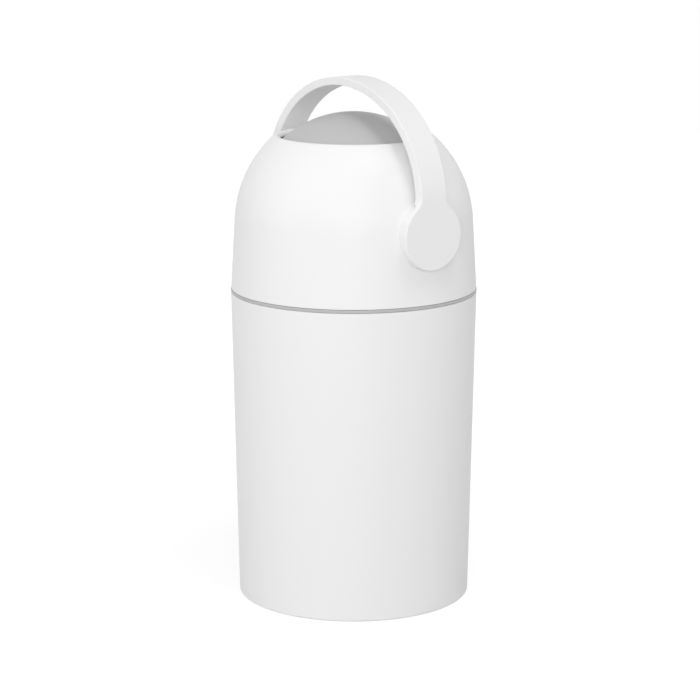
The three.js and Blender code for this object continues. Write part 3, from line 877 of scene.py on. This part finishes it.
# %% Handle arch
ARCH_STEPS = 64
CORNERS = [(outer_arch, -half_width), (outer_arch, half_width)]
CORNERS += [(inner_arch, half_width), (inner_arch, -half_width)]

rings = []
for step in range(ARCH_STEPS + 1):
    turn = first_angle + (pi / 2 - first_angle) * step / ARCH_STEPS
    places = [
        (half * cos(turn), across, arch_centre + rise * sin(turn)) for (half, rise), across in CORNERS
    ]
    rings.append([handle.verts.new(place) for place in places])
for low, high in zip(rings, rings[1:]):
    for one, two in ((0, 1), (1, 2), (2, 3), (3, 0)):
        handle.faces.new((low[one], low[two], high[two], high[one]))
bmesh.ops.remove_doubles(handle, verts=handle.verts, dist=WELD)

# %% Both halves, rounded edges and pegs
HANDLE_EDGE = 2.0 * MM
DISC_BACK_EDGE = 0.5 * MM
LONG_EDGE_STEPS = 5
DISC_BACK_STEPS = 3
ROOM_SLACK = 0.1 * MM
PEG_SIDE = 12.0 * MM
PEG_LENGTH = 16.5 * MM

every_part = [*handle.verts, *handle.edges, *handle.faces]
bmesh.ops.mirror(handle, geom=every_part, axis="X", merge_dist=WELD)
bmesh.ops.recalc_face_normals(handle, faces=handle.faces)
print("open edges:", sum(not edge.is_manifold for edge in handle.edges))


def at_disc_back(point):
    return abs(abs(point.x) - disc_back) < WELD and point.z < AXLE_HEIGHT + meeting_z


def at_room(point):
    return abs(point.x) < disc_back + WELD and hub_distance(point) < room_radius + ROOM_SLACK


def at_long_edge(point):
    return not at_disc_back(point) and not at_room(point)


soften(handle, HANDLE_EDGE, at_long_edge, segments=LONG_EDGE_STEPS)
soften(handle, DISC_BACK_EDGE, at_disc_back, segments=DISC_BACK_STEPS)
for side in (-1, 1):
    inner_end = side * (disc_back - PEG_LENGTH)
    outer_end = side * (disc_back + MM)
    peg = bmesh.ops.create_cube(handle, size=1)["verts"]
    bmesh.ops.scale(handle, vec=(abs(outer_end - inner_end), PEG_SIDE, PEG_SIDE), verts=peg)
    bmesh.ops.translate(handle, vec=((inner_end + outer_end) / 2, 0, AXLE_HEIGHT), verts=peg)
add_piece("carry_handle", handle, white_handle, "drum", ["handle"])

# %% [markdown]
# ## Barrel and piston
# The barrel is a plain tube through the ball. With the handle laid down it stands upright, and you
# look through the mouth onto the piston. The piston's faces are dished a little, with a raised rim,
# as thin mouldings are, so that they stay stiff.

# %% Barrel tube
BARREL_INNER = 59.5 * MM
BARREL_OUTER = 62.0 * MM
BARREL_ROWS = 10
BARREL_EDGE = 0.5 * MM


def tube_outline(inner, outer, low, high):
    return [(inner, low), (outer, low), (outer, high), (inner, high)]


def along_y(bm, place=(0, 0, AXLE_HEIGHT)):
    return move_mesh(turn_mesh(bm, -pi / 2, "X"), place)


barrel_low, barrel_high = (corner.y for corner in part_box("barrel_tube"))
barrel = spun(
    [
        *run((BARREL_INNER, barrel_low), (BARREL_INNER, barrel_high), BARREL_ROWS),
        (BARREL_INNER, barrel_high),
        *run((BARREL_OUTER, barrel_high), (BARREL_OUTER, barrel_low), BARREL_ROWS),
        (BARREL_OUTER, barrel_low),
    ]
)
soften(barrel, BARREL_EDGE)
add_piece("barrel", along_y(barrel), inner_plastic, "drum", ["barrel_tube"])

# %% Piston cup and cover
PISTON_RIM = 6.0 * MM
PISTON_DISH = 1.4 * MM
PISTON_SLOPE = 3.0 * MM
PISTON_WALL = 3.0 * MM
PISTON_EDGE = 0.5 * MM
DISH_EDGE = 2.0 * MM
DISH_ANGLE = radians(15)
GROOVE_DEPTH = 2.4 * MM
GROOVE_SLACK = 0.3 * MM

cup_low, cup_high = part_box("piston_cup")
cover_low, cover_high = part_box("piston_cover")
seal_low, seal_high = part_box("piston_seal_front")
piston_radius = cup_high.x
rim_inner = piston_radius - PISTON_RIM
dish_radius = rim_inner - PISTON_SLOPE
groove_half = (seal_high.y - seal_low.y) / 2 + GROOVE_SLACK
groove_floor = piston_radius - GROOVE_DEPTH
cup_inner = groove_floor - PISTON_WALL
cup_floor = cup_low.y + PISTON_WALL + PISTON_DISH
groove_middles = sorted(
    (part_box(f"piston_seal_{end}")[0].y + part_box(f"piston_seal_{end}")[1].y) / 2
    for end in ("front", "back")
)


def groove(middle):
    return [
        (piston_radius, middle - groove_half),
        (groove_floor, middle - groove_half),
        (groove_floor, middle + groove_half),
        (piston_radius, middle + groove_half),
    ]


cup = spun(
    [
        (0, cup_low.y + PISTON_DISH),
        (dish_radius, cup_low.y + PISTON_DISH),
        (rim_inner, cup_low.y),
        (piston_radius, cup_low.y),
        *[point for middle in groove_middles for point in groove(middle)],
        (piston_radius, cup_high.y),
        (cup_inner, cup_high.y),
        (cup_inner, cup_floor),
        (0, cup_floor),
    ]
)
soften(cup, PISTON_EDGE, lambda point: hypot(point.x, point.y) > groove_floor + MM)
soften(cup, DISH_EDGE, lambda point: point.z < cup_low.y + 2 * PISTON_DISH, angle=DISH_ANGLE)
along_y(cup)
add_piece("piston_cup_moulding", cup, inner_plastic, "piston", ["piston_cup"])

cover = spun(
    [
        (0, cover_low.y),
        (piston_radius, cover_low.y),
        (piston_radius, cover_high.y),
        (rim_inner, cover_high.y),
        (dish_radius, cover_high.y - PISTON_DISH),
        (0, cover_high.y - PISTON_DISH),
    ]
)
soften(cover, PISTON_EDGE, lambda point: hypot(point.x, point.y) > piston_radius - MM)
soften(cover, DISH_EDGE, lambda point: point.z > cover_low.y + MM, angle=DISH_ANGLE)
along_y(cover)
add_piece("piston_cover_moulding", cover, inner_plastic, "piston", ["piston_cover"])

# %% [markdown]
# ## Seals, collar and pin
# The rubber rings and the collar are spun like the shells. Each ring has rounded lips, because rubber
# is moulded with them and they're what a light picks out of the dark.

# %% Rubber rings
MOUTH_SEAL_GAP = 0.3 * MM
SEAL_LIP = 0.5 * MM
RING_ROUND = 0.8 * MM
WIPER_ROUND = 0.6 * MM
seal_bottom, seal_top = (corner.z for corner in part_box("mouth_seal"))
wiper_bottom, wiper_top = (corner.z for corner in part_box("ball_wiper"))
wiper_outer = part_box("ball_wiper")[1].x


def ball_edge(height):
    """Distance from the bin's axis to a lip that just clears the ball."""
    return sqrt((BALL_RADIUS + SEAL_LIP) ** 2 - (height - AXLE_HEIGHT) ** 2)


def dome_edge(height):
    return dome_radius_at(height, *inside) - MOUTH_SEAL_GAP


def ring_between(inner, outer, low, high, rows=4):
    """A ring whose two sides follow curves of the height."""
    heights = [low + (high - low) * row / rows for row in range(rows + 1)]
    return spun(
        [(inner(height), height) for height in heights]
        + [(outer(height), height) for height in reversed(heights)]
    )


mouth_seal = ring_between(ball_edge, dome_edge, seal_bottom, seal_top)
soften(mouth_seal, RING_ROUND)
add_piece("mouth_ring", mouth_seal, seal_rubber, "lid", ["mouth_seal"])

wiper = ring_between(ball_edge, lambda height: wiper_outer, wiper_bottom, wiper_top)
soften(wiper, WIPER_ROUND)
add_piece("wiper_ring", wiper, seal_rubber, "lid", ["ball_wiper"])

LID_SEAL_WIDTH = 3.0 * MM
low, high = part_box("lid_seal")
lid_seal = spun(tube_outline(high.x - LID_SEAL_WIDTH, high.x, low.z, high.z))
soften(lid_seal, RING_ROUND)
add_piece("lid_ring", lid_seal, seal_rubber, "lid", ["lid_seal"])

PISTON_SEAL_WIDTH = 2.4 * MM
for end in ("front", "back"):
    low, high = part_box(f"piston_seal_{end}")
    ring = spun(tube_outline(high.x - PISTON_SEAL_WIDTH, high.x, low.y, high.y))
    soften(ring, RING_ROUND)
    name = f"piston_ring_{end}"
    add_piece(name, along_y(ring), seal_rubber, "piston", [f"piston_seal_{end}"])

# %% Collar
COLLAR_PLATE = 3.0 * MM
COLLAR_WALL = 2.5 * MM
COLLAR_RIM = 3.0 * MM
COLLAR_NECK = 101.5 * MM
NECK_DEPTH = 12.0 * MM
COLLAR_EDGE = 0.7 * MM
collar_low, collar_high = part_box("lid_collar")
collar_outer = collar_high.x
plate_low = collar_high.z - COLLAR_PLATE

collar = spun(
    [
        (COLLAR_NECK, plate_low - NECK_DEPTH),
        (COLLAR_NECK + COLLAR_WALL, plate_low - NECK_DEPTH),
        (COLLAR_NECK + COLLAR_WALL, plate_low),
        (collar_outer - COLLAR_RIM, plate_low),
        (collar_outer - COLLAR_RIM, collar_low.z),
        (collar_outer, collar_low.z),
        (collar_outer, collar_high.z),
        (COLLAR_NECK, collar_high.z),
    ]
)
soften(collar, COLLAR_EDGE)
add_piece("collar", collar, inner_plastic, "lid", ["lid_collar"])

# %% [markdown]
# ## Hinge
# The hinge is at the back. The lid has one eye in the middle and the bucket one on each side, and a
# steel pin runs through all three. Each eye with its gusset is one outline pushed out to its width.

# %% Hinge eyes and pin
EYE_RADIUS = 5.0 * MM
PIN_RADIUS = 2.0 * MM
PIN_HALF = 30.5 * MM
LID_EYE_HALF = 18.0 * MM
BUCKET_EYE = (18.5 * MM, 30.5 * MM)
GUSSET_HEIGHT = 24.0 * MM
GUSSET_ROOT = 12.5 * MM
GUSSET_FACE = 7.5 * MM
GUSSET_FOOT = 2.4 * MM
EYE_STEPS = 28
EYE_EDGE = 0.8 * MM
PIN_EDGE = 0.4 * MM
EYE_OVERLAP = 0.6


def eye_outline(sign):
    """Side view of an eye with its gusset, as (y, z) from the pin: sign 1 goes up, -1 down."""
    far = hypot(GUSSET_FACE, GUSSET_HEIGHT)
    slope = pi - atan2(GUSSET_HEIGHT, GUSSET_FACE) - acos(EYE_RADIUS / far)
    round_end = arc((0, 0), EYE_RADIUS, slope, -pi / 2 - EYE_OVERLAP, EYE_STEPS)
    points = [(-GUSSET_ROOT, GUSSET_HEIGHT), (-GUSSET_FACE, GUSSET_HEIGHT), *round_end]
    points.append((-GUSSET_ROOT, GUSSET_FOOT))
    return [(y, sign * z) for y, z in points]


def eye(sign, low, high):
    bm = bmesh.new()
    side_face = bm.faces.new(
        [bm.verts.new((low, HINGE_Y + y, SEAM_HEIGHT + z)) for y, z in eye_outline(sign)]
    )
    pushed = bmesh.ops.extrude_face_region(bm, geom=[side_face])["geom"]
    far_verts = [item for item in pushed if isinstance(item, bmesh.types.BMVert)]
    bmesh.ops.translate(bm, vec=(high - low, 0, 0), verts=far_verts)
    bmesh.ops.recalc_face_normals(bm, faces=bm.faces)
    return bm


lid_eye = soften(eye(1, -LID_EYE_HALF, LID_EYE_HALF), EYE_EDGE)
add_piece("lid_hinge_eye", lid_eye, white_shell, "lid")
for side, (low, high) in (("right", BUCKET_EYE), ("left", (-BUCKET_EYE[1], -BUCKET_EYE[0]))):
    bucket_eye = soften(eye(-1, low, high), EYE_EDGE)
    add_piece(f"bucket_hinge_eye_{side}", bucket_eye, white_shell, "bucket")

pin_outline = [(0, -PIN_HALF), (PIN_RADIUS, -PIN_HALF), (PIN_RADIUS, PIN_HALF), (0, PIN_HALF)]
pin = spun(pin_outline, SMALL_STEPS)
soften(pin, PIN_EDGE)
turn_mesh(pin, pi / 2, "Y")
move_mesh(pin, (0, HINGE_Y, SEAM_HEIGHT))
add_piece("hinge_rod", pin, steel_along_x, "bucket", ["hinge_pin"])

# %% [markdown]
# ## Pieces kept from the frame
# Bushes, trunnions, the steel weight and the screws sit inside, and their plain solids are right as
# they are. They only get their finish.

# %% Finishes for the kept pieces
KEPT = {
    bearing_plastic: ["hub_bush_right", "hub_bush_left", "trunnion_right", "trunnion_left"],
    steel_along_x: ["handle_screw_right", "handle_screw_left"],
    steel_along_y: ["piston_weight"],
    steel_along_z: [
        f"{place}_screw_{count}" for place in ("ball", "collar") for count in range(1, 5)
    ],
}
for finish, names in KEPT.items():
    for name in names:
        node_mesh = frame["nodes"][name].data
        node_mesh.materials.clear()
        node_mesh.materials.append(finish)
    print(f"{finish.name}: {len(names)} kept pieces")
